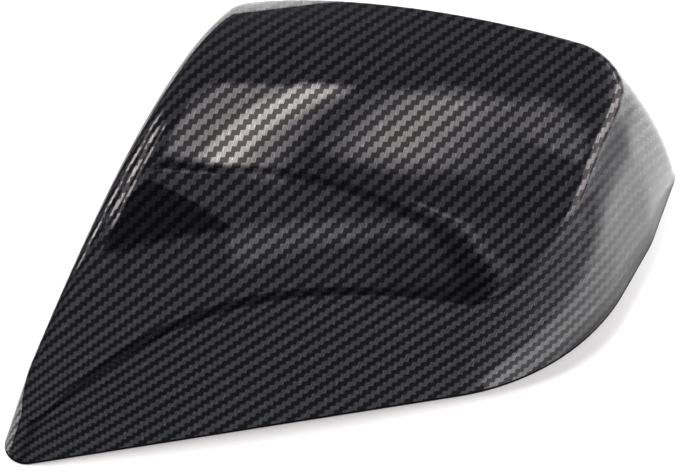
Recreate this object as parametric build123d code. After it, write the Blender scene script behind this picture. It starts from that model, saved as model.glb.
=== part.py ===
from build123d import *
import os
from math import cos, radians, sqrt, tan

# Car wing mirror cover: one moulded shell that lies on its rim, open side down.
# X runs from the inboard tip to the outboard end, Y from the lower edge to the far edge, Z up.

# Rim outline, walked anticlockwise from the inboard tip: length and heading of each side in degrees
lower_length = 212.8
lower_heading = 11.0
outboard_low_length = 70.5
outboard_low_heading = 62.6
outboard_high_length = 51.0
outboard_high_heading = 70.3
far_length = 175.0
far_heading = 174.1

# Corner radii of the walls, at the rim and at the upper level
tip_radius = 8.5
tip_upper_radius = 5.0
lower_corner_radius = 90.0
lower_corner_upper_radius = 40.0
end_radius = 60.0
end_upper_radius = 40.0
far_outboard_radius = 15.0
far_outboard_upper_radius = 10.0
far_inboard_radius = 18.0
far_inboard_upper_radius = 14.0
upper_level = 90.0

# Inward lean of each wall from upright, in degrees
lower_lean = 32.0
outboard_lean = 24.0
far_lean = 6.0
inboard_lean = 4.5

# Moulding
wall = 2.5
rim_wall = 1.5
rim_step_height = 3.0
shoulder_radius = 5.0

# Crown: heights of its control net above the rim, in rows from the lower edge to the far edge,
# each row from the inboard side to the outboard side
crown_lower_row = (-6.0, 39.0, 2.5, -9.0)
crown_breast_row = (20.5, 58.5, 41.0, 42.5)
crown_middle_row = (97.5, 85.5, 63.0, 49.0)
crown_upper_row = (107.0, 93.5, 69.5, 37.0)
crown_far_row = (55.0, 81.0, 74.0, 47.5)
crown_margin = 4.0

# Cut-out in the inboard wall for the mirror's arm
arm_cut_start = 26.0
arm_cut_level = 46.0
arm_cut_slope_run = 52.0
arm_cut_height = 46.0
arm_cut_radius = 12.0

# Snap lugs inside the rim, placed by their distance from the start of a wall
lug_width = 12.0
lug_depth = 2.5
lug_base = 6.0
lug_ramp = 5.0
lug_top = 13.0
lower_lug_places = (62.0, 132.0)
outboard_lug_places = (40.0,)
far_lug_places = (34.0, 88.0, 142.0)


def point_along(start, length, heading):
    return start + Vector(length, 0).rotate(Axis.Z, heading)


def crossing(p, along_p, q, along_q):
    """Where two lines in plan meet."""
    gap = q - p
    turn = along_p.X * along_q.Y - along_p.Y * along_q.X
    return p + along_p * ((gap.X * along_q.Y - gap.Y * along_q.X) / turn)


def sides(corners):
    return list(zip(corners, corners[1:] + corners[:1]))


def inset(corners, gaps):
    """The outline with each side moved inwards by its own gap."""
    lines = []
    for (start, end), gap in zip(sides(corners), gaps):
        along = (end - start).normalized()
        lines.append((start + along.rotate(Axis.Z, 90) * gap, along))
    return [crossing(*lines[i - 1], *lines[i]) for i in range(len(lines))]


tip = Vector(0, 0)
lower_corner = point_along(tip, lower_length, lower_heading)
end_corner = point_along(lower_corner, outboard_low_length, outboard_low_heading)
far_outboard = point_along(end_corner, outboard_high_length, outboard_high_heading)
far_inboard = point_along(far_outboard, far_length, far_heading)
rim = [tip, lower_corner, end_corner, far_outboard, far_inboard]
rim_radii = [tip_radius, lower_corner_radius, end_radius, far_outboard_radius, far_inboard_radius]
upper_radii = [
    tip_upper_radius,
    lower_corner_upper_radius,
    end_upper_radius,
    far_outboard_upper_radius,
    far_inboard_upper_radius,
]
leans = [lower_lean, outboard_lean, outboard_lean, far_lean, inboard_lean]
LOWER, OUTBOARD_LOW, OUTBOARD_HIGH, FAR, INBOARD = range(len(rim))


def crown_face():
    """Smooth crown over the plan, on a net whose sides follow the rim's sides."""
    lower_outboard = crossing(tip, lower_corner - tip, end_corner, far_outboard - end_corner)
    plan = inset([tip, lower_outboard, far_outboard, far_inboard], [-crown_margin] * 4)
    rows = [crown_lower_row, crown_breast_row, crown_middle_row, crown_upper_row, crown_far_row]
    net = []
    for i, heights in enumerate(rows):
        across = i / (len(rows) - 1)
        first = plan[0] + (plan[3] - plan[0]) * across
        last = plan[1] + (plan[2] - plan[1]) * across
        steps = len(heights) - 1
        net.append([first + (last - first) * (j / steps) + Vector(0, 0, z) for j, z in enumerate(heights)])
    return Face.make_bezier_surface(net)


crown = crown_face()
top_height = crown.bounding_box().max.Z + crown_margin


def wall_outline(depth, height):
    """Level outline of the walls at a height and at a depth below their outer faces."""
    gaps = [depth / cos(radians(lean)) + height * tan(radians(lean)) for lean in leans]
    corners = [corner + Vector(0, 0, height) for corner in inset(rim, gaps)]
    taper = height / upper_level
    radii = [low + (high - low) * taper - depth for low, high in zip(rim_radii, upper_radii)]
    return FilletPolyline(*corners, radius=radii, close=True).wire()


def skirt(depth):
    """Block between the leaning walls, at a depth below their outer faces."""
    return Solid.make_loft([wall_outline(depth, 0), wall_outline(depth, top_height)], ruled=True)


def blank(depth):
    """The cover's closed form at a depth below its outer face, with a sharp shoulder."""
    inward = crown.normal_at(0.5, 0.5)
    if inward.Z > 0:
        inward = -inward
    under_crown = Solid.extrude(crown.moved(Location(inward * depth)), Vector(0, 0, -2 * top_height))
    return (skirt(depth) & under_crown).solid()


def shoulder(solid):
    """The edges where the crown meets the walls."""
    return solid.faces().filter_by(GeomType.BEZIER).sort_by(SortBy.AREA)[-1].edges()


def wall_plane(side, distance):
    """Section plane across a wall: X inwards from the outer face, Y up the wall."""
    start, end = sides(rim)[side]
    along = (end - start).normalized()
    inward = along.rotate(Axis.Z, 90).rotate(Axis((0, 0, 0), along), -leans[side])
    return Plane(start + along * distance, x_dir=inward, z_dir=along)


def snap_lug(side, distance):
    """Wedge inside the rim, with a ramp below and a catch on top."""
    root = wall / 2
    profile = Polyline(
        (root, lug_base),
        (wall + lug_depth, lug_base + lug_ramp),
        (wall + lug_depth, lug_top),
        (root, lug_top),
        close=True,
    )
    return extrude(wall_plane(side, distance) * make_face(profile), lug_width / 2, both=True)


def arm_cutter():
    """Sloping arch through the inboard wall."""
    start, end = sides(rim)[INBOARD]
    along = (end - start).normalized()
    outward = along.rotate(Axis.Z, -90).rotate(Axis((0, 0, 0), along), -inboard_lean)
    level_end = arm_cut_start + arm_cut_level
    slope = arm_cut_slope_run / arm_cut_height
    below = arm_cut_radius
    arch = FilletPolyline(
        (arm_cut_start, -below),
        (arm_cut_start, arm_cut_height),
        (level_end, arm_cut_height),
        (level_end + slope * (arm_cut_height + below), -below),
        radius=arm_cut_radius,
    )
    outline = make_face(arch.edges() + [Line(arch @ 1, arch @ 0)])
    return extrude(Plane(start, x_dir=along, z_dir=outward) * outline, 2 * wall, both=True)


outside = blank(0)
outside = outside.fillet(shoulder_radius, shoulder(outside))
# The inner corner is bevelled just so much that the wall keeps its thickness round the shoulder
inside = blank(wall)
inside = inside.chamfer((2 - sqrt(2)) * (shoulder_radius - wall), None, shoulder(inside))
cover = outside - inside
cover -= skirt(rim_wall).split(Plane.XY.offset(rim_step_height), keep=Keep.BOTTOM)
cover -= arm_cutter()
lug_places = (
    [(LOWER, place) for place in lower_lug_places]
    + [(OUTBOARD_LOW, place) for place in outboard_lug_places]
    + [(FAR, place) for place in far_lug_places]
)
for side, place in lug_places:
    cover += snap_lug(side, place)

# The origin is the middle of the cover's box, on the rim
centre = cover.bounding_box().center()
cover = Pos(-centre.X, -centre.Y, 0) * cover

os.makedirs("parts", exist_ok=True)
export_step(cover, "parts/cover.step")
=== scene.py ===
from copy import copy
from math import cos, pi, radians, sin, tan

import bmesh
import bpy
import numpy as np
from bpy.props import FloatProperty, FloatVectorProperty, PointerProperty
from bpy.types import Operator, Panel, PropertyGroup
from mathutils import Matrix, Vector


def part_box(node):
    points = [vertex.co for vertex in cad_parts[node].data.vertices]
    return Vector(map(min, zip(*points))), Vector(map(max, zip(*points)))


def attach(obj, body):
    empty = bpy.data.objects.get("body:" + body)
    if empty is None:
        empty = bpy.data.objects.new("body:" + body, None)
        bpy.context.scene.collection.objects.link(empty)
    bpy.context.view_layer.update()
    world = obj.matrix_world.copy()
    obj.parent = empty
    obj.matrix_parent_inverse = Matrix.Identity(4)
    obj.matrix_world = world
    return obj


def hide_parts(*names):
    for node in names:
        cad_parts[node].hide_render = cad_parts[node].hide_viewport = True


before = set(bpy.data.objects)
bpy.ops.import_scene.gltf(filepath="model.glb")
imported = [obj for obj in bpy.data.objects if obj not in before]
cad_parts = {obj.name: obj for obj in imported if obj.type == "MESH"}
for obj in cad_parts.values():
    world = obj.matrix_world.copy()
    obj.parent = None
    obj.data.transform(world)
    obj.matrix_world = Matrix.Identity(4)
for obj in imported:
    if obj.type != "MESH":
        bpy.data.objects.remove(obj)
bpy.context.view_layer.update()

bl_info = {
    "name": "Wing mirror cover",
    "version": (1, 0, 0),
    "blender": (4, 5, 0),
    "location": "View3D > Sidebar > Cover",
    "description": "Models a car's wing mirror cover with a twill weave under clear coat",
    "category": "Object",
}

MM = 0.001
NODE = "cover"
BODY = "root"
WEAVE_MAP = "weave"
# Map of the painted sheen that fades the print on the end walls
PAINTED_SHEEN_MAP = "painted_sheen"

# How finely the shell is divided: steps along each side and round each corner of the rim,
# walked from the inboard tip, and rows over the crown, the shoulder and the walls
SIDE_STEPS = (92, 24, 24, 72, 88)
CORNER_STEPS = (32, 44, 12, 28, 28)
CROWN_ROWS = 26
SHOULDER_ROWS = 10
WALL_ROWS = 12
INNER_ROWS = 6
EDGE_ROWS = 4
ARCH_SEGMENTS = 8
SHARP_ANGLE = radians(38)

# Level of the last full ring of film in rim roundings, and thickness of the arm's cutter in walls
FILM_END = 1.5
CUTTER_WALLS = 4

# Steps that find a place on the crown's net and a wall's height under the crown,
# and the highest wall looked at, in upper levels
NET_STEPS = 12
HEIGHT_STEPS = 40
HEIGHT_LIMIT = 1.2

LOWER, OUTBOARD_LOW, OUTBOARD_HIGH, FAR, INBOARD = range(5)
CARBON, PLASTIC, EDGE = range(3)

# Snap lugs by wall: distances from the wall's start in millimetres
LUG_PLACES = {LOWER: (62.0, 132.0), OUTBOARD_LOW: (40.0,), FAR: (34.0, 88.0, 142.0)}

# Which walls are end walls, and how far their swell and the painted sheen there, which fades the print, are
# carried round the corners
END_WALLS = (0.0, 1.0, 1.0, 0.0, 0.0)
SWELL_CARRY = 1.7
SHEEN_CARRY = 1.8

# Film across and up for each unit of wall as it is seen from where the film was drawn on, side by side,
# and the share of the film that is drawn straight on there, instead of folded over the shoulder
FILM_GAINS = ((1.02, 1.17), (1.0, 1.18), (1.0, 1.13), (1.0, 1.0), (1.0, 1.0))
FILM_TIP_GAIN = (1.0, 1.7)
FILM_DRAWN = (1.0, 1.0, 1.0, 0.0, 0.0)

# Studio as mirrored in the cover, on a map of directions with straight up in its middle
# and the horizon at one. Soft panes of light by start, end, half width, softness and brightness:
# five over the crown, one for the outboard crease and three for the streaks of the inboard roll
WARM_PANES = (
    ((0.060, -0.187), (0.149, 0.10), 0.019, 0.012, 1.7),
    ((0.055, -0.188), (0.112, 0.085), 0.06, 0.016, 0.8),
    ((0.192, -0.13), (0.232, 0.09), 0.03, 0.018, 0.6),
    ((0.215, -0.10), (0.262, 0.12), 0.032, 0.018, 0.45),
    ((0.292, 0.03), (0.308, 0.14), 0.012, 0.01, 0.35),
    ((0.42, 0.03), (0.82, 0.10), 0.25, 0.05, 1.9),
    ((-0.38, 0.22), (-0.52, -0.05), 0.05, 0.025, 2.2),
    ((-0.245, 0.05), (-0.30, -0.16), 0.04, 0.02, 2.0),
    ((-0.115, -0.03), (-0.215, -0.23), 0.022, 0.012, 1.7),
)
COOL_PANES = (((0.06, -0.305), (0.235, -0.245), 0.018, 0.012, 0.3),)
# Dark frame of a window with glints along two stretches of it, a shaded strip inside it and a dark flag
FRAME_LINE = (
    (-0.03, -0.204),
    (0.039, -0.198),
    (0.097, -0.184),
    (0.137, -0.179),
    (0.173, -0.186),
    (0.202, -0.2),
    (0.227, -0.229),
    (0.245, -0.27),
    (0.263, -0.333),
    (0.291, -0.416),
)
GLINT_LINES = (
    ((0.22, -0.193), (0.228, -0.201), (0.244, -0.223), (0.259, -0.294), (0.3, -0.432)),
    ((-0.02, -0.217), (0.053, -0.206)),
)
SHADE = ((0.19, -0.215), (0.262, -0.40), 0.02, 0.015)
FLAG = ((0.066, -0.283), (-0.024, -0.235), (-0.16, -0.215), (-0.215, -0.28), (-0.10, -0.336))
# Where each of these sets in, from nothing to all of it
FRAME_EDGE = (0.003, 0.013)
GLINT_EDGE = (0.0008, 0.003)
FLAG_EDGE = 0.0012
# The room in front, the pale horizon on the outboard side,
# and the dark trough in front between the crown's picture and the skirt's
ROOM_NORTH = (-0.22, -0.18)
GLOW_EAST = (0.15, 0.75)
GLOW_AWAY = (0.5, 0.85)
TROUGH_NORTH = (-0.41, -0.35)
TROUGH_AWAY = (0.68, 0.78)
TROUGH_EAST = (0.32, 0.48)
# Light that is added, and shares of the light that are taken away
ROOM_LIGHT = 0.06
GLOW_LIGHT = 0.3
GLINT_LIGHT = 0.4
FRAME_DARK = 0.85
TROUGH_DARK = 0.8
FLAG_DARK = 0.92
SHADE_DARK = 0.3
COOL_TINT = (0.96, 0.94, 1.06, 1.0)
WARM_TINT = (1.0, 0.92, 0.89, 1.0)

# Lamps by name, place, target, size in metres and power in watts
LAMPS = (
    ("overhead", (0.0, 0.1, 2.2), (0.0, 0.0, 0.05), 2.4, 15.0),
    ("back", (-0.40, 1.16, 1.70), (0.0, 0.0, 0.05), 0.35, 51.0),
    ("end_light", (0.24, 0.06, 0.12), (0.24, 0.06, 0.0), 0.1, 0.4),
)
FLOOR_HALF_SIZE = 4.0
SENSOR_WIDTH = 36.0


def length(name, millimetres, description):
    size = millimetres * MM
    return FloatProperty(name=name, description=description, default=size, unit="LENGTH", precision=4)


def angle(name, degrees, description):
    return FloatProperty(name=name, description=description, default=radians(degrees), subtype="ANGLE")


def heights(name, millimetres, description):
    return FloatVectorProperty(
        name=name,
        description=description,
        size=4,
        default=[height * MM for height in millimetres],
        unit="LENGTH",
        precision=4,
    )


def colour(name, rgb, description):
    return FloatVectorProperty(
        name=name, description=description, size=3, default=rgb, min=0, max=1, subtype="COLOR"
    )


def number(name, value, description):
    return FloatProperty(name=name, description=description, default=value)


class CoverShape(PropertyGroup):
    """Sizes of the moulded shell"""

    lower_length: length("Lower side", 212.8, "Length of the rim's lower side")
    lower_heading: angle("Lower heading", 11.0, "Direction of the rim's lower side in plan")
    outboard_low_length: length("Outboard side, low", 70.5, "Length of the side next to the lower corner")
    outboard_low_heading: angle("Outboard heading, low", 62.6, "Direction of that side in plan")
    outboard_high_length: length("Outboard side, high", 51.0, "Length of the side next to the far corner")
    outboard_high_heading: angle("Outboard heading, high", 70.3, "Direction of that side in plan")
    far_length: length("Far side", 175.0, "Length of the rim's far side")
    far_heading: angle("Far heading", 174.1, "Direction of the rim's far side in plan")

    tip_radius: length("Tip radius", 8.5, "Radius of the inboard tip at the rim")
    tip_upper_radius: length("Tip upper radius", 5.0, "Radius of the inboard tip at the upper level")
    lower_corner_radius: length("Lower corner radius", 90.0, "Radius of the lower outboard corner at the rim")
    lower_corner_upper_radius: length("Lower corner upper radius", 40.0, "The same corner at the upper level")
    end_radius: length("End radius", 60.0, "Radius between the two outboard sides at the rim")
    end_upper_radius: length("End upper radius", 40.0, "The same corner at the upper level")
    far_outboard_radius: length("Far outboard radius", 15.0, "Radius of the far outboard corner at the rim")
    far_outboard_upper_radius: length("Far outboard upper radius", 15.0, "The same corner at the upper level")
    far_inboard_radius: length("Far inboard radius", 18.0, "Radius of the far inboard corner at the rim")
    far_inboard_upper_radius: length("Far inboard upper radius", 14.0, "The same corner at the upper level")
    upper_level: length("Upper level", 90.0, "Height above the rim where the upper radii hold")

    lower_lean: angle("Lower lean", 32.0, "Inward lean of the lower wall")
    outboard_low_lean: angle("Outboard lean, low", 24.0, "Inward lean of the wall next to the lower corner")
    outboard_high_lean: angle("Outboard lean, high", 22.6, "Inward lean of the wall next to the far corner")
    far_lean: angle("Far lean", 6.0, "Inward lean of the far wall")
    inboard_lean: angle("Inboard lean", 4.5, "Inward lean of the inboard wall")

    end_swell: length("End swell", 3.4, "How far the outboard walls swell out below the shoulder")

    crown_lower: heights("Crown, lower row", (-6.0, 39.0, 2.5, -9.0), "Control heights along the lower edge")
    crown_breast: heights("Crown, breast row", (20.5, 58.5, 41.0, 42.5), "Control heights of the second row")
    crown_middle: heights("Crown, middle row", (97.5, 85.5, 63.0, 49.0), "Control heights of the third row")
    crown_upper: heights("Crown, upper row", (107.0, 93.5, 69.5, 37.0), "Control heights of the fourth row")
    crown_far: heights("Crown, far row", (55.0, 81.0, 74.0, 47.5), "Control heights along the far edge")
    crown_margin: length("Crown margin", 4.0, "How far the crown's net reaches past the rim")

    wall: length("Wall", 2.5, "Wall thickness")
    rim_wall: length("Rim wall", 1.5, "Thickness of the lip at the rim")
    rim_step: length("Rim step", 3.0, "Height of the lip at the rim")
    rim_round: length("Rim rounding", 0.6, "Rounding of the rim's outer edge")
    lower_shoulder: length("Lower shoulder", 10.0, "Shoulder radius above the lower wall")
    outboard_shoulder: length("Outboard shoulder", 7.0, "Shoulder radius above the outboard walls")
    far_shoulder: length("Far shoulder", 4.0, "Shoulder radius above the far wall")
    inboard_shoulder: length("Inboard shoulder", 10.0, "Shoulder radius above the inboard wall")
    tip_shoulder: length("Tip shoulder", 4.0, "Shoulder radius round the tip")
    shoulder_blend: length("Shoulder blend", 12.0, "Distance over which one radius runs into the next")

    arm_cut_start: length("Arm cut-out start", 26.0, "Distance of the cut-out from the far inboard corner")
    arm_cut_level: length("Arm cut-out level", 46.0, "Length of the cut-out's level top")
    arm_cut_slope_run: length("Arm cut-out slope", 52.0, "Run of the cut-out's sloping side")
    arm_cut_height: length("Arm cut-out height", 46.0, "Height of the cut-out")
    arm_cut_radius: length("Arm cut-out radius", 12.0, "Radius of the cut-out's corners")

    lug_width: length("Lug width", 12.0, "Width of a snap lug")
    lug_depth: length("Lug depth", 2.5, "How far a snap lug stands in from the wall")
    lug_base: length("Lug base", 6.0, "Distance of a lug's foot from the rim")
    lug_ramp: length("Lug ramp", 5.0, "Length of a lug's ramp up the wall")
    lug_top: length("Lug top", 13.0, "Distance of a lug's catch from the rim")


class WeaveLook(PropertyGroup):
    """Colours and scale of the printed weave and of the bare plastic"""

    warp: length("Warp width", 1.59, "Width of one printed tow across the film")
    weft: length("Weft width", 1.735, "Width of one printed tow up the film")
    skew: number("Skew", 0.268, "How far the warp leans over for each unit up the film")
    film_tilt: angle("Film tilt", 50.0, "Angle above the rim plane from which the film was drawn on")
    film_level: length("Film level", 42.2, "Level up the film where it is stretched most")
    film_stretch: number("Film stretch", 0.9, "Film for each unit of crown at that level")
    film_curl: number("Film curl", 31.2, "How fast the stretch eases off above and below that level")
    film_tip: length("Film tip", 20.0, "Distance from the tip over which the film is gathered")
    film_gather: number("Film gather", 0.6, "How much the film is gathered at the tip")
    film_blend: length("Film blend", 7.0, "Distance over which the film's run spreads round a corner")
    tow_light: colour("Light tows", (0.19, 0.19, 0.2), "Colour of the tows on top along the weave")
    tow_dark: colour("Dark tows", (0.003, 0.0028, 0.004), "Colour of the tows on top across the weave")
    # Painted sheen: how far the print is faded on the end walls, standing in for the clear coat's grazing
    # reflection there
    fade: number("Fade", 0.84, "Contrast that the print loses where the film is stretched over the end walls")
    sheen_tone: number("Fade tone", 0.1, "Share of the light tows' colour that comes in there")
    plastic: colour("Plastic", (0.010, 0.010, 0.011), "Colour of the bare plastic inside")
    plastic_gloss: number("Plastic gloss", 0.3, "Specular level of the bare plastic inside")
    edge_gloss: number("Edge gloss", 0.0, "Specular level of the trimmed edge")


class StageLook(PropertyGroup):
    """Camera and light"""

    elevation: angle("Elevation", 50.0, "Camera angle above the floor")
    distance: length("Distance", 900.0, "Camera distance")
    frame_width: length("Frame width", 244.3, "Width seen at that distance")
    look_at: FloatVectorProperty(
        name="Look at",
        description="Point in the middle of the picture",
        default=(-0.00535, -0.00426, 0.03),
        subtype="XYZ",
    )
    floor: colour("Floor", (0.86, 0.86, 0.86), "Colour of the floor")
    sky: number("Surroundings", 0.14, "Brightness of the studio's surroundings")


def unit(vectors):
    return vectors / np.linalg.norm(vectors, axis=-1, keepdims=True)


def left_of(directions):
    return np.stack((-directions[..., 1], directions[..., 0]), -1)


def crossing(p, along_p, q, along_q):
    """Where two lines in plan meet."""
    gap = q - p
    turn = along_p[0] * along_q[1] - along_p[1] * along_q[0]
    return p + along_p * (gap[0] * along_q[1] - gap[1] * along_q[0]) / turn


def inset(corners, gaps):
    """The outline with each side moved inwards by its own gap."""
    along = unit(np.roll(corners, -1, 0) - corners)
    starts = corners + left_of(along) * np.asarray(gaps)[:, None]
    return np.array([crossing(starts[i - 1], along[i - 1], starts[i], along[i]) for i in range(len(corners))])


def rim_corners(shape):
    """Corners of the rim before rounding, from the inboard tip, in the CAD's frame."""
    sides = (
        (shape.lower_length, shape.lower_heading),
        (shape.outboard_low_length, shape.outboard_low_heading),
        (shape.outboard_high_length, shape.outboard_high_heading),
        (shape.far_length, shape.far_heading),
    )
    corners = [np.zeros(2)]
    for size, heading in sides:
        corners.append(corners[-1] + size * np.array((cos(heading), sin(heading))))
    corners = np.array(corners)
    line, _ = rounded(corners, rim_radii(shape))
    return corners + np.array(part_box(NODE)[0])[:2] - line.min(0)


def rim_radii(shape):
    return np.array(
        (
            shape.tip_radius,
            shape.lower_corner_radius,
            shape.end_radius,
            shape.far_outboard_radius,
            shape.far_inboard_radius,
        )
    )


def upper_radii(shape):
    return np.array(
        (
            shape.tip_upper_radius,
            shape.lower_corner_upper_radius,
            shape.end_upper_radius,
            shape.far_outboard_upper_radius,
            shape.far_inboard_upper_radius,
        )
    )


def wall_leans(shape):
    return np.array(
        (
            shape.lower_lean,
            shape.outboard_low_lean,
            shape.outboard_high_lean,
            shape.far_lean,
            shape.inboard_lean,
        )
    )


def rounded(corners, radii):
    """Stations round an outline with rounded corners, and the outward direction at each."""
    count = len(corners)
    along = unit(np.roll(corners, -1, 0) - corners)
    outward = -left_of(along)
    turns = [np.arccos(np.clip(along[i - 1] @ along[i], -1, 1)) for i in range(count)]
    reach = [radius * tan(turn / 2) for radius, turn in zip(radii, turns)]
    points, normals = [], []
    for side in range(count):
        corner = (side + 1) % count
        start = corners[side] + along[side] * reach[side]
        end = corners[corner] - along[side] * reach[corner]
        for share in np.arange(SIDE_STEPS[side]) / SIDE_STEPS[side]:
            points.append(start + (end - start) * share)
            normals.append(outward[side])
        centre = end - outward[side] * radii[corner]
        for share in np.arange(CORNER_STEPS[corner]) / CORNER_STEPS[corner]:
            swing = share * turns[corner]
            normal = outward[side] * cos(swing) + left_of(outward[side]) * sin(swing)
            points.append(centre + normal * radii[corner])
            normals.append(normal)
    return np.array(points), np.array(normals)


def along_stations(side_values, tip_value):
    """A value for each station: even along a side, running over at a corner, and its own at the tip."""
    values = []
    for side, value in enumerate(side_values):
        corner = (side + 1) % len(side_values)
        values += [value] * SIDE_STEPS[side]
        after = side_values[corner]
        for share in np.arange(CORNER_STEPS[corner]) / CORNER_STEPS[corner]:
            values.append(tip_value if corner == 0 else value + (after - value) * share)
    return np.array(values)


def smooth_round(values, points, reach):
    """Evens out values along a closed line of points, over a distance."""
    steps = np.linalg.norm(np.roll(points, -1, 0) - points, axis=1)
    place = np.concatenate(((0,), np.cumsum(steps)[:-1]))
    total = steps.sum()
    gap = np.abs(place[:, None] - place[None, :])
    gap = np.minimum(gap, total - gap)
    weight = np.exp(-0.5 * (gap / reach) ** 2) * ((steps + np.roll(steps, 1)) / 2)[None, :]
    weight /= weight.sum(1, keepdims=True)
    return weight @ values


class Crown:
    """The crown as a height over the plan: a net of control heights stretched over a four-sided plan."""

    def __init__(self, shape):
        corners = rim_corners(shape)
        tip, lower_corner, end_corner, far_outboard, far_inboard = corners
        lower_outboard = crossing(tip, lower_corner - tip, end_corner, far_outboard - end_corner)
        margin = [-shape.crown_margin] * 4
        self.plan = inset(np.array((tip, lower_outboard, far_outboard, far_inboard)), margin)
        rows = (shape.crown_lower, shape.crown_breast, shape.crown_middle, shape.crown_upper, shape.crown_far)
        self.net = np.array([list(row) for row in rows])
        self.shift = np.zeros(3)

    def lowered(self, depth):
        """The same crown, moved square to its middle by a depth."""
        lower = copy(self)
        rise = self.slope(self.plan.mean(0)[None])[0]
        lower.shift = -depth * unit(np.array((-rise[0], -rise[1], 1.0)))
        return lower

    def height(self, places):
        """Heights over places in plan, each found on the net's plan by Newton's steps."""
        xy = places - self.shift[:2]
        p00, p10, p11, p01 = self.plan
        u = np.full(len(xy), 0.5)
        v = np.full(len(xy), 0.5)
        for _ in range(NET_STEPS):
            a, b = u[:, None], v[:, None]
            miss = xy - (p00 * (1 - a) * (1 - b) + p10 * a * (1 - b) + p11 * a * b + p01 * (1 - a) * b)
            du = (p10 - p00) * (1 - b) + (p11 - p01) * b
            dv = (p01 - p00) * (1 - a) + (p11 - p10) * a
            area = du[:, 0] * dv[:, 1] - du[:, 1] * dv[:, 0]
            u = u + (miss[:, 0] * dv[:, 1] - miss[:, 1] * dv[:, 0]) / area
            v = v + (du[:, 0] * miss[:, 1] - du[:, 1] * miss[:, 0]) / area
        across = np.stack(((1 - u) ** 3, 3 * u * (1 - u) ** 2, 3 * u**2 * (1 - u), u**3), -1)
        along = np.stack(
            ((1 - v) ** 4, 4 * v * (1 - v) ** 3, 6 * v**2 * (1 - v) ** 2, 4 * v**3 * (1 - v), v**4), -1
        )
        return np.einsum("ni,ij,nj->n", along, self.net, across) + self.shift[2]

    def slope(self, places):
        """Rise of the crown along X and along Y."""
        step = 0.1 * MM
        east, north = np.array((step, 0)), np.array((0, step))
        return np.stack(
            (
                (self.height(places + east) - self.height(places - east)) / (2 * step),
                (self.height(places + north) - self.height(places - north)) / (2 * step),
            ),
            -1,
        )


class Skin:
    """One face of the shell, at a depth: leaning walls, a rounded shoulder and the crown."""

    def __init__(self, shape, crown, depth, rounding, swell):
        self.shape, self.crown, self.swell = shape, crown, swell
        self.base, self.outward = self.outline(depth, 0)
        upper, _ = self.outline(depth, shape.upper_level)
        self.climb = (upper - self.base) / shape.upper_level
        self.top = self.meet_crown()
        ridge = self.at(self.top)
        up = unit(np.concatenate((self.climb, np.ones((len(self.climb), 1))), 1))
        inward = self.over_crown(ridge[:, :2])
        bend = np.arccos(np.clip((up * inward).sum(1), -1, 1))
        reach = rounding * np.tan(bend / 2)
        self.wall_top = self.top - reach * up[:, 2]
        self.foot = self.at(self.wall_top)
        edge = ridge[:, :2] + inward[:, :2] * reach[:, None]
        self.edge = np.concatenate((edge, crown.height(edge)[:, None]), 1)
        pull = (reach * 4 / 3 * np.tan(bend / 4) / np.tan(bend / 2))[:, None]
        self.foot_handle = self.foot + up * pull
        self.edge_handle = self.edge - self.over_crown(edge) * pull
        self.middle = self.edge[:, :2].mean(0)

    def outline(self, depth, height):
        """Stations round the walls at a height, and the outward direction at each."""
        shape = self.shape
        leans = wall_leans(shape)
        gaps = depth / np.cos(leans) + height * np.tan(leans)
        low, high = rim_radii(shape), upper_radii(shape)
        radii = low + (high - low) * height / shape.upper_level - depth
        return rounded(inset(rim_corners(shape), gaps), radii)

    def at(self, height):
        """Points on the walls' rulings at a height, one for all or one for each."""
        height = np.broadcast_to(height, len(self.base))[:, None]
        return np.concatenate((self.base + self.climb * height, height), 1)

    def meet_crown(self):
        """Height at which each of the walls' rulings meets the crown, by halving."""
        low = np.zeros(len(self.base))
        high = np.full(len(self.base), HEIGHT_LIMIT * self.shape.upper_level)
        for _ in range(HEIGHT_STEPS):
            middle = (low + high) / 2
            under = self.crown.height(self.at(middle)[:, :2]) > middle
            low, high = np.where(under, middle, low), np.where(under, high, middle)
        return low

    def over_crown(self, places):
        """Direction that runs inwards over the crown at each station."""
        rise = -(self.crown.slope(places) * self.outward).sum(1)
        return unit(np.concatenate((-self.outward, rise[:, None]), 1))

    def wall(self, share, bottom):
        """Ring on the walls between a level and the shoulder, where the end walls swell a little."""
        ring = self.at(bottom + (self.wall_top - bottom) * share)
        ring[:, :2] += self.outward * (self.swell * 4 * share * (1 - share))[:, None]
        return ring

    def shoulder(self, share):
        """Ring on the shoulder, from the walls' top at zero to the crown's edge at one."""
        back = 1 - share
        return (
            self.foot * back**3
            + self.foot_handle * 3 * back**2 * share
            + self.edge_handle * 3 * back * share**2
            + self.edge * share**3
        )

    def crown_ring(self, share):
        """Ring on the crown, from its middle at zero to its edge at one."""
        places = self.middle + (self.edge[:, :2] - self.middle) * share
        return np.concatenate((places, self.crown.height(places)[:, None]), 1)

    def crown_pole(self):
        return (*self.middle, self.crown.height(self.middle[None])[0])


def film_across(look, x):
    """Place across the film, which is gathered towards the tip."""
    from_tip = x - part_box(NODE)[0][0]
    return x - look.film_gather * look.film_tip * np.exp(-from_tip / look.film_tip)


def film_place(look, points):
    """Film at points on the crown: its place across and up as drawn on, and its share of painted sheen, none
    there.
    """
    up = points[:, 1] * sin(look.film_tilt) + points[:, 2] * cos(look.film_tilt) - look.film_level
    stretched = look.film_stretch * up + look.film_curl * up**3
    return np.stack((film_across(look, points[:, 0]), stretched, np.zeros(len(up))), -1)


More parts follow.
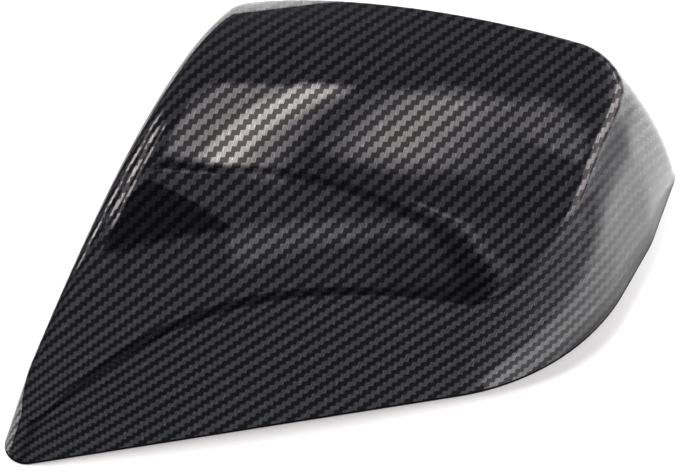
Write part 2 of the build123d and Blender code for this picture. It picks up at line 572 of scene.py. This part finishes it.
def shell_rings(shape, look):
    """Rings of the shell from the crown's middle outside, down to the rim, and back up inside.

    With them come the film's place at the middle and on each printed ring, the number of those rings,
    and the crown's middle outside and inside."""
    crown = Crown(shape)
    side_radii = (
        shape.lower_shoulder,
        shape.outboard_shoulder,
        shape.outboard_shoulder,
        shape.far_shoulder,
        shape.inboard_shoulder,
    )
    line, _ = rounded(rim_corners(shape), rim_radii(shape))
    rounding = smooth_round(along_stations(side_radii, shape.tip_shoulder), line, shape.shoulder_blend)
    end_walls = along_stations(END_WALLS, 0.0)
    carried = np.minimum(SWELL_CARRY * end_walls, 1.0)
    swell = shape.end_swell * smooth_round(carried, line, shape.shoulder_blend)
    # Painted sheen on the end walls, carried a little round the corners
    sheen_walls = smooth_round(end_walls, line, SHEEN_CARRY * shape.shoulder_blend)
    outer, lip, inner = (
        Skin(shape, crown.lowered(depth), depth, np.maximum(rounding - depth, MM), swell)
        for depth in (0.0, shape.rim_wall, shape.wall)
    )
    gains = along_stations([np.array(gain) for gain in FILM_GAINS], np.array(FILM_TIP_GAIN))
    from_tip = np.linalg.norm(line - rim_corners(shape)[0], axis=1)[:, None]
    gains = smooth_round(gains, line, look.film_blend)
    gains += np.exp(-from_tip / (2 * look.film_tip)) * (np.array(FILM_TIP_GAIN) - gains)
    drawn = smooth_round(along_stations(FILM_DRAWN, 1.0), line, look.film_blend)[:, None]
    folded = smooth_round(outer.outward, line, look.film_blend)
    rings = [outer.crown_ring((row + 1) / CROWN_ROWS) for row in range(CROWN_ROWS)]
    films = [film_place(look, ring) for ring in rings]

    def lay(ring):
        """Lays the film on down the shoulder and the wall."""
        step = ring - rings[-1]
        across = film_across(look, ring[:, 0]) - film_across(look, rings[-1][:, 0])
        seen = np.stack((across, step[:, 1] * sin(look.film_tilt) + step[:, 2] * cos(look.film_tilt)), -1)
        fold = folded * np.linalg.norm(step, axis=1)[:, None]
        place = films[-1][:, :2] + drawn * gains * seen + (1 - drawn) * fold
        # Painted sheen that fades the print comes in over the shoulder and is full on the end walls
        sheen_share = sheen_walls * min(1.0, (len(rings) + 1 - CROWN_ROWS) / SHOULDER_ROWS)
        films.append(np.concatenate((place, sheen_share[:, None]), 1))
        rings.append(ring)

    for row in range(1, SHOULDER_ROWS + 1):
        lay(outer.shoulder(1 - row / SHOULDER_ROWS))
    for row in range(1, WALL_ROWS + 1):
        lay(outer.wall(1 - row / WALL_ROWS, FILM_END * shape.rim_round))
    lay(outer.at(shape.rim_round))
    printed = len(rings)
    corner = shape.rim_round * (1 - cos(pi / 4))
    for aside, up in ((corner, corner), (shape.rim_round, 0.0)):
        ring = outer.at(up)
        ring[:, :2] -= outer.outward * aside
        rings.append(ring)
    rings += [lip.at(0.0), lip.at(shape.rim_step), inner.at(shape.rim_step)]
    rings += [inner.wall((row + 1) / INNER_ROWS, shape.rim_step) for row in range(INNER_ROWS)]
    rings += [inner.shoulder((row + 1) / INNER_ROWS) for row in range(INNER_ROWS)]
    rings += [inner.crown_ring(1 - (row + 1) / CROWN_ROWS) for row in range(CROWN_ROWS - 1)]
    pole = np.array(outer.crown_pole())
    films.insert(0, film_place(look, pole[None])[0])
    return rings, films, printed, pole, inner.crown_pole()


def new_object(name, bm, materials):
    """Makes a bmesh an object of the scene, with its materials in order."""
    mesh = bpy.data.meshes.new(name)
    bm.to_mesh(mesh)
    bm.free()
    for material in materials:
        mesh.materials.append(material)
    piece = bpy.data.objects.new(name, mesh)
    bpy.context.scene.collection.objects.link(piece)
    return piece


def skin_of(row, printed):
    """Material of a band of the shell, by the row that ends it: film, trimmed edge or bare plastic."""
    if row < printed - 1:
        return CARBON
    return EDGE if row < printed - 1 + EDGE_ROWS else PLASTIC


def raise_shell(rings, films, printed, outer_pole, inner_pole):
    """Extrudes a circle ring by ring into the closed shell and lays the film's map and the map of its painted
    sheen on its printed skin.
    """
    bm = bmesh.new()
    station = bm.verts.layers.int.new("station")
    count = len(rings[0])
    made = bmesh.ops.create_circle(bm, cap_ends=True, cap_tris=True, segments=count, radius=1)
    pole = min(made["verts"], key=lambda vert: vert.co.length)
    ring = [vert for vert in made["verts"] if vert is not pole]
    ring.sort(key=lambda vert: np.arctan2(vert.co.y, vert.co.x))
    place = {pole: films[0]}
    pole.co = outer_pole
    for index, vert in enumerate(ring):
        vert[station] = index
        vert.co = rings[0][index]
        place[vert] = films[1][index]
    for row in range(1, len(rings) + 1):
        edges = [bm.edges.get((ring[i - 1], ring[i])) for i in range(count)]
        grown = bmesh.ops.extrude_edge_only(bm, edges=edges)["geom"]
        ring = [part for part in grown if isinstance(part, bmesh.types.BMVert)]
        ring.sort(key=lambda vert: vert[station])
        for part in grown:
            if isinstance(part, bmesh.types.BMFace):
                part.material_index = skin_of(row, printed)
        if row == len(rings):
            break
        for index, vert in enumerate(ring):
            vert.co = rings[row][index]
            if row < printed:
                place[vert] = films[row + 1][index]
    bmesh.ops.pointmerge(bm, verts=ring, merge_co=inner_pole)
    bmesh.ops.recalc_face_normals(bm, faces=bm.faces[:])
    # The second map carries the painted sheen that fades the print on the end walls
    weave, painted_sheen = bm.loops.layers.uv.new(WEAVE_MAP), bm.loops.layers.uv.new(PAINTED_SHEEN_MAP)
    for face in bm.faces:
        face.smooth = True
        for loop in face.loops:
            across, up, sheen_share = place.get(loop.vert, (0.0, 0.0, 0.0))
            loop[weave].uv = across, up
            loop[painted_sheen].uv = sheen_share, 0.0
    bm.verts.layers.int.remove(station)
    return bm


def wall_frame(shape, side, distance):
    """Matrix at a place along a wall's foot: X inwards square to the wall, Y up the wall, Z along it."""
    corners = rim_corners(shape)
    along = unit(corners[(side + 1) % len(corners)] - corners[side])
    start = corners[side] + along * distance
    along = Vector((*along, 0))
    level = Vector((-along.y, along.x, 0))
    tilt = wall_leans(shape)[side]
    inward = level * cos(tilt) - Vector((0, 0, 1)) * sin(tilt)
    up = along.cross(inward)
    matrix = Matrix((inward, up, along)).transposed().to_4x4()
    matrix.translation = (*start, 0)
    return matrix


def prism(bm, points, thickness, matrix, roundings=None):
    """Raises a flat outline with rounded corners by a thickness, half to each side."""
    verts = [bm.verts.new((x, y, -thickness / 2)) for x, y in points]
    bm.faces.new(verts)
    made = set(verts)
    for index, offset in (roundings or {}).items():
        found = bmesh.ops.bevel(
            bm,
            geom=[verts[index]],
            offset=offset,
            affect="VERTICES",
            segments=ARCH_SEGMENTS,
            profile=0.5,
            material=-1,
        )
        made |= set(found["verts"])
    made = {vert for vert in made if vert.is_valid}
    face = next(iter(next(iter(made)).link_faces))
    grown = bmesh.ops.extrude_face_region(bm, geom=[face])["geom"]
    top = [part for part in grown if isinstance(part, bmesh.types.BMVert)]
    bmesh.ops.translate(bm, verts=top, vec=(0, 0, thickness))
    bmesh.ops.transform(bm, matrix=matrix, verts=list(made) + top)


def arm_cutter(shape, material):
    """Sloping arch that cuts the inboard wall."""
    bm = bmesh.new()
    # The arch is drawn with X up the wall and Y along it
    below = shape.arm_cut_radius
    level_end = shape.arm_cut_start + shape.arm_cut_level
    slope = shape.arm_cut_slope_run / shape.arm_cut_height
    turn = pi / 2 - np.arctan(slope)
    points = (
        (-below, shape.arm_cut_start),
        (shape.arm_cut_height, shape.arm_cut_start),
        (shape.arm_cut_height, level_end),
        (-below, level_end + slope * (shape.arm_cut_height + below)),
    )
    roundings = {1: shape.arm_cut_radius, 2: shape.arm_cut_radius * tan(turn / 2)}
    turned = wall_frame(shape, INBOARD, 0) @ Matrix(((0, 0, 1, 0), (1, 0, 0, 0), (0, 1, 0, 0), (0, 0, 0, 1)))
    prism(bm, points, CUTTER_WALLS * shape.wall, turned, roundings)
    bmesh.ops.recalc_face_normals(bm, faces=bm.faces[:])
    return new_object("arm_cutter", bm, (material,))


def snap_lugs(shape, material):
    """Wedges inside the rim, each with a ramp below and a catch on top."""
    bm = bmesh.new()
    root, face = shape.wall / 2, shape.wall + shape.lug_depth
    points = (
        (root, shape.lug_base),
        (face, shape.lug_base + shape.lug_ramp),
        (face, shape.lug_top),
        (root, shape.lug_top),
    )
    for side, distances in LUG_PLACES.items():
        for distance in distances:
            prism(bm, points, shape.lug_width, wall_frame(shape, side, distance * MM))
    bmesh.ops.recalc_face_normals(bm, faces=bm.faces[:])
    return new_object("snap_lugs", bm, (material,))


def combine(piece, tools):
    """Applies each tool to the piece as a Boolean and removes the tools."""
    for tool, operation in tools:
        modifier = piece.modifiers.new(tool.name, "BOOLEAN")
        modifier.object = tool
        modifier.operation = operation
        modifier.solver = "EXACT"
        modifier.material_mode = "TRANSFER"
    graph = bpy.context.evaluated_depsgraph_get()
    done = bpy.data.meshes.new_from_object(
        piece.evaluated_get(graph), preserve_all_data_layers=True, depsgraph=graph
    )
    piece.modifiers.clear()
    old, piece.data = piece.data, done
    name = old.name
    bpy.data.meshes.remove(old)
    done.name = name
    for tool, _ in tools:
        mesh = tool.data
        bpy.data.objects.remove(tool)
        bpy.data.meshes.remove(mesh)


class Value:
    """A number in a node tree. Arithmetic on it adds Math nodes."""

    def __init__(self, sheet, socket):
        self.sheet, self.socket = sheet, socket

    def math(self, operation, *others):
        inputs = dict(enumerate((self, *others)))
        node = self.sheet.node("ShaderNodeMath", {"operation": operation}, inputs)
        return Value(self.sheet, node.outputs[0])

    def from_number(self, operation, first):
        node = self.sheet.node("ShaderNodeMath", {"operation": operation}, {0: first, 1: self})
        return Value(self.sheet, node.outputs[0])

    def __add__(self, other):
        return self.math("ADD", other)

    __radd__ = __add__

    def __sub__(self, other):
        return self.math("SUBTRACT", other)

    def __rsub__(self, first):
        return self.from_number("SUBTRACT", first)

    def __mul__(self, other):
        return self.math("MULTIPLY", other)

    __rmul__ = __mul__

    def __truediv__(self, other):
        return self.math("DIVIDE", other)

    def __rtruediv__(self, first):
        return self.from_number("DIVIDE", first)

    def __mod__(self, other):
        return self.math("FLOORED_MODULO", other)

    def __lt__(self, other):
        return self.math("LESS_THAN", other)

    def __abs__(self):
        return self.math("ABSOLUTE")

    def floor(self):
        return self.math("FLOOR")

    def clamp(self):
        return self.math("MAXIMUM", 0.0).math("MINIMUM", 1.0)

    def smooth_between(self, low, high):
        node = self.sheet.node(
            "ShaderNodeMapRange",
            {"interpolation_type": "SMOOTHSTEP", "clamp": True},
            {"Value": self, "From Min": low, "From Max": high},
        )
        return Value(self.sheet, node.outputs["Result"])


class Sheet:
    """The node tree of a material or of the world."""

    def __init__(self, owner):
        self.owner = owner
        owner.use_nodes = True
        self.tree = owner.node_tree
        self.tree.nodes.clear()

    def node(self, kind, settings, inputs):
        node = self.tree.nodes.new(kind)
        for name, value in settings.items():
            setattr(node, name, value)
        for name, value in inputs.items():
            if isinstance(value, Value):
                value = value.socket
            if isinstance(value, bpy.types.NodeSocket):
                self.tree.links.new(value, node.inputs[name])
            else:
                node.inputs[name].default_value = value
        return node

    def value(self, node, output=0):
        return Value(self, node.outputs[output])

    def mix(self, factor, first, second):
        return self.node("ShaderNodeMix", {"data_type": "RGBA"}, {0: factor, 6: first, 7: second}).outputs[2]

    def noise(self, across, up, detail):
        """Noise on the film."""
        place = self.node("ShaderNodeCombineXYZ", {}, {0: across, 1: up})
        inputs = {"Vector": place.outputs[0], "Scale": 1.0, "Detail": detail, "Roughness": 0.6}
        return self.value(self.node("ShaderNodeTexNoise", {"noise_dimensions": "2D"}, inputs))

    def cloud(self, scale, detail):
        """Noise in the piece's own space."""
        place = self.node("ShaderNodeTexCoord", {}, {}).outputs["Object"]
        inputs = {"Vector": place, "Scale": scale, "Detail": detail}
        return self.value(self.node("ShaderNodeTexNoise", {}, inputs))

    def scaled(self, rgb, share):
        return self.node("ShaderNodeVectorMath", {"operation": "SCALE"}, {0: rgb, "Scale": share}).outputs[0]

    def finish(self, shader):
        world = isinstance(self.owner, bpy.types.World)
        kind = "ShaderNodeOutputWorld" if world else "ShaderNodeOutputMaterial"
        self.node(kind, {}, {"Surface": shader.outputs[0]})
        return self.owner


def opaque(rgb, share=1.0):
    return (*(part * share for part in rgb), 1.0)


def carbon_gloss(look):
    """Printed two-and-two twill under a thick clear coat."""
    sheet = Sheet(bpy.data.materials.new("carbon_gloss"))
    film = sheet.node("ShaderNodeUVMap", {"uv_map": WEAVE_MAP}, {})
    parts = sheet.node("ShaderNodeSeparateXYZ", {}, {0: film.outputs[0]})
    across, up = sheet.value(parts, 0), sheet.value(parts, 1)
    warp = (across - up * look.skew) / look.warp
    weft = up / look.weft

    # Two over and two under, each row one tow further along
    over = (warp.floor() - weft.floor()) % 4.0 < 2.0
    sheen_share = sheet.node("ShaderNodeUVMap", {"uv_map": PAINTED_SHEEN_MAP}, {})
    painted_sheen = sheet.value(sheet.node("ShaderNodeSeparateXYZ", {}, {0: sheen_share.outputs[0]}))
    # Painted sheen: on the end walls the print's contrast is faded and the dark tows are lifted towards the
    # light ones, standing in for the clear coat's grazing reflection there
    shown = over * (1.0 - painted_sheen * look.fade) + painted_sheen * look.sheen_tone
    # Fine streaks with glints run along the light tows, and threads across the dark ones
    streaks = sheet.noise(warp * 4.5, weft * 0.5, 2.0)
    threads = sheet.noise(warp * 0.7, weft * 4.0, 1.0)
    glints = streaks.smooth_between(0.56, 0.78)
    light_share = streaks * 0.7 + glints * 0.9 + 0.5
    dark_share = threads * 0.9 + 0.55
    light = sheet.scaled(look.tow_light, light_share)
    dark = sheet.scaled(look.tow_dark, dark_share)
    shader = sheet.node(
        "ShaderNodeBsdfPrincipled",
        {},
        {
            "Base Color": sheet.mix(shown, dark, light),
            "Metallic": shown * 0.95,
            "Roughness": 0.5 - shown * 0.45,
            "Specular IOR Level": 0.0,
            "Specular Tint": (0.2, 0.2, 0.2, 1.0),
            "Coat Weight": 1.0,
            "Coat Roughness": 0.02,
            "Coat IOR": 1.5,
        },
    )
    return sheet.finish(shader)


def moulded_plastic(look, name, gloss):
    """Bare black plastic with the fine grain of a tool."""
    sheet = Sheet(bpy.data.materials.new(name))
    grain = sheet.cloud(1800.0, 3.0)
    cloud = sheet.cloud(35.0, 2.0)
    tone = sheet.mix(cloud, opaque(look.plastic, 0.8), opaque(look.plastic, 1.3))
    bump = sheet.node("ShaderNodeBump", {}, {"Height": grain, "Strength": 0.25, "Distance": 0.05 * MM})
    shader = sheet.node(
        "ShaderNodeBsdfPrincipled",
        {},
        {
            "Base Color": tone,
            "Roughness": cloud * 0.15 + 0.42,
            "Specular IOR Level": gloss,
            "Normal": bump.outputs[0],
        },
    )
    return sheet.finish(shader)


def pale_floor(look):
    """Plain pale floor with the faintest cloud in it."""
    sheet = Sheet(bpy.data.materials.new("pale_floor"))
    tone = sheet.mix(sheet.cloud(3.0, 2.0), opaque(look.floor, 0.98), opaque(look.floor))
    shader = sheet.node("ShaderNodeBsdfPrincipled", {}, {"Base Color": tone, "Roughness": 0.9})
    return sheet.finish(shader)


def pane(east, north, start, end, half_width, edge):
    """One inside a soft-edged strip from start to end on the studio's map, zero outside it."""
    run = np.subtract(end, start)
    size = float(np.linalg.norm(run))
    run_east, run_north = (float(part) / size for part in run)
    along = (east - start[0]) * run_east + (north - start[1]) * run_north
    aside = abs((north - start[1]) * run_east - (east - start[0]) * run_north)
    inside = along.smooth_between(-edge, edge) - along.smooth_between(size - edge, size + edge)
    return inside * (1.0 - aside.smooth_between(half_width - edge, half_width + edge))


def distance_to(east, north, line):
    """Distance on the studio's map from a line through points."""
    nearest = None
    for (east0, north0), (east1, north1) in zip(line, line[1:]):
        run_east, run_north = east1 - east0, north1 - north0
        size = run_east**2 + run_north**2
        share = ((east - east0) * (run_east / size) + (north - north0) * (run_north / size)).clamp()
        aside = east - east0 - share * run_east
        ahead = north - north0 - share * run_north
        gap = (aside * aside + ahead * ahead).math("SQRT")
        nearest = nearest.math("MINIMUM", gap) if nearest else gap
    return nearest


def inside_of(east, north, corners, edge):
    """One inside a straight-sided outline walked anticlockwise, with soft edges, zero outside it."""
    share = 1.0
    for (east0, north0), (east1, north1) in zip(corners, corners[1:] + corners[:1]):
        size = float(np.hypot(east1 - east0, north1 - north0))
        depth = (north - north0) * ((east1 - east0) / size) - (east - east0) * ((north1 - north0) / size)
        share = depth.smooth_between(-edge, edge) * share
    return share


def studio(look):
    """Dim studio with soft panes of light overhead, mapped as seen from straight below."""
    sheet = Sheet(bpy.data.worlds.new("studio"))
    direction = sheet.node("ShaderNodeTexCoord", {}, {}).outputs["Generated"]
    parts = sheet.node("ShaderNodeSeparateXYZ", {}, {0: direction})
    spread = sheet.value(parts, 2).math("MAXIMUM", -0.5) + 1.0
    east, north = sheet.value(parts, 0) / spread, sheet.value(parts, 1) / spread
    away = (east * east + north * north).math("SQRT")

    warm, cool = (
        sum(pane(east, north, *place) * brightness for *place, brightness in panes)
        for panes in (WARM_PANES, COOL_PANES)
    )
    room = 1.0 - north.smooth_between(*ROOM_NORTH)
    glow = east.smooth_between(*GLOW_EAST) * away.smooth_between(*GLOW_AWAY)
    glint = sum(1.0 - distance_to(east, north, line).smooth_between(*GLINT_EDGE) for line in GLINT_LINES)

    frame_line = 1.0 - distance_to(east, north, FRAME_LINE).smooth_between(*FRAME_EDGE)
    trough = (1.0 - north.smooth_between(*TROUGH_NORTH)) * (1.0 - away.smooth_between(*TROUGH_AWAY))
    trough = trough * (1.0 - east.smooth_between(*TROUGH_EAST))
    flag = inside_of(east, north, FLAG, FLAG_EDGE)
    shade = pane(east, north, *SHADE)
    left = (1.0 - frame_line * FRAME_DARK) * (1.0 - trough * TROUGH_DARK)
    left = left * (1.0 - flag * FLAG_DARK) * (1.0 - shade * SHADE_DARK)
    level = (room * ROOM_LIGHT + look.sky + glow * GLOW_LIGHT + warm + cool) * left + glint * GLINT_LIGHT
    tint = sheet.mix(warm.math("MINIMUM", 1.0), COOL_TINT, WARM_TINT)
    shader = sheet.node("ShaderNodeBackground", {}, {"Color": tint, "Strength": level})
    return sheet.finish(shader)


class COVER_OT_shell(Operator):
    """Model the moulded shell with its rim step, snap lugs and arm cut-out"""

    bl_idname = "wing_cover.shell"
    bl_label = "Cover shell"

    def execute(self, context):
        shape, look = context.scene.wing_cover_shape, context.scene.wing_cover_weave
        carbon = carbon_gloss(look)
        plastic = moulded_plastic(look, "moulded_plastic", look.plastic_gloss)
        edge = moulded_plastic(look, "trimmed_edge", look.edge_gloss)
        bm = raise_shell(*shell_rings(shape, look))
        piece = new_object("cover_shell", bm, (carbon, plastic, edge))
        combine(piece, ((snap_lugs(shape, plastic), "UNION"), (arm_cutter(shape, plastic), "DIFFERENCE")))
        if len(piece.data.polygons) < CROWN_ROWS * sum(SIDE_STEPS):
            raise RuntimeError("the shell lost its faces")
        piece.data.shade_smooth()
        piece.data.set_sharp_from_angle(angle=SHARP_ANGLE)
        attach(piece, BODY)
        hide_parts(NODE)
        return {"FINISHED"}


def soft_box(name, location, target, size, power):
    """Square lamp that faces a target and stays out of reflections."""
    lamp = bpy.data.lights.new(name, "AREA")
    lamp.shape = "RECTANGLE"
    lamp.size = lamp.size_y = size
    lamp.energy = power
    item = bpy.data.objects.new(name, lamp)
    item.location = location
    item.rotation_euler = (Vector(target) - Vector(location)).to_track_quat("-Z", "Y").to_euler()
    item.visible_camera = False
    item.visible_glossy = False
    bpy.context.scene.collection.objects.link(item)


class COVER_OT_stage(Operator):
    """Set the floor, the camera and the studio light"""

    bl_idname = "wing_cover.stage"
    bl_label = "Stage"

    def execute(self, context):
        scene, look = context.scene, context.scene.wing_cover_stage
        bm = bmesh.new()
        bmesh.ops.create_grid(bm, x_segments=2, y_segments=2, size=FLOOR_HALF_SIZE)
        floor = new_object("floor", bm, (pale_floor(look),))

        scene.world = studio(look)
        for lamp in LAMPS:
            soft_box(*lamp)

        camera = bpy.data.cameras.new("photo_view")
        camera.sensor_width = SENSOR_WIDTH
        camera.lens = camera.sensor_width * look.distance / look.frame_width
        item = bpy.data.objects.new("photo_view", camera)
        back = Vector((0, -cos(look.elevation), sin(look.elevation)))
        item.location = Vector(look.look_at) + back * look.distance
        item.rotation_euler = (pi / 2 - look.elevation, 0, 0)
        scene.collection.objects.link(item)
        scene.camera = item
        scene.view_settings.view_transform = "Standard"
        return {"FINISHED"}


class COVER_PT_panel(Panel):
    """Sizes, colours and steps of the cover"""

    bl_idname = "COVER_PT_panel"
    bl_label = "Wing mirror cover"
    bl_space_type = "VIEW_3D"
    bl_region_type = "UI"
    bl_category = "Cover"

    def draw(self, context):
        scene = context.scene
        for operator in OPERATORS:
            self.layout.operator(operator.bl_idname)
        for group in (scene.wing_cover_shape, scene.wing_cover_weave, scene.wing_cover_stage):
            box = self.layout.box()
            for name in group.__annotations__:
                box.prop(group, name)


OPERATORS = (COVER_OT_shell, COVER_OT_stage)
CLASSES = (CoverShape, WeaveLook, StageLook, *OPERATORS, COVER_PT_panel)


def register():
    for item in CLASSES:
        bpy.utils.register_class(item)
    bpy.types.Scene.wing_cover_shape = PointerProperty(type=CoverShape)
    bpy.types.Scene.wing_cover_weave = PointerProperty(type=WeaveLook)
    bpy.types.Scene.wing_cover_stage = PointerProperty(type=StageLook)


def unregister():
    del bpy.types.Scene.wing_cover_stage
    del bpy.types.Scene.wing_cover_weave
    del bpy.types.Scene.wing_cover_shape
    for item in reversed(CLASSES):
        bpy.utils.unregister_class(item)


def main():
    register()
    bpy.ops.wing_cover.shell()
    bpy.ops.wing_cover.stage()


if __name__ == "__main__":
    main()
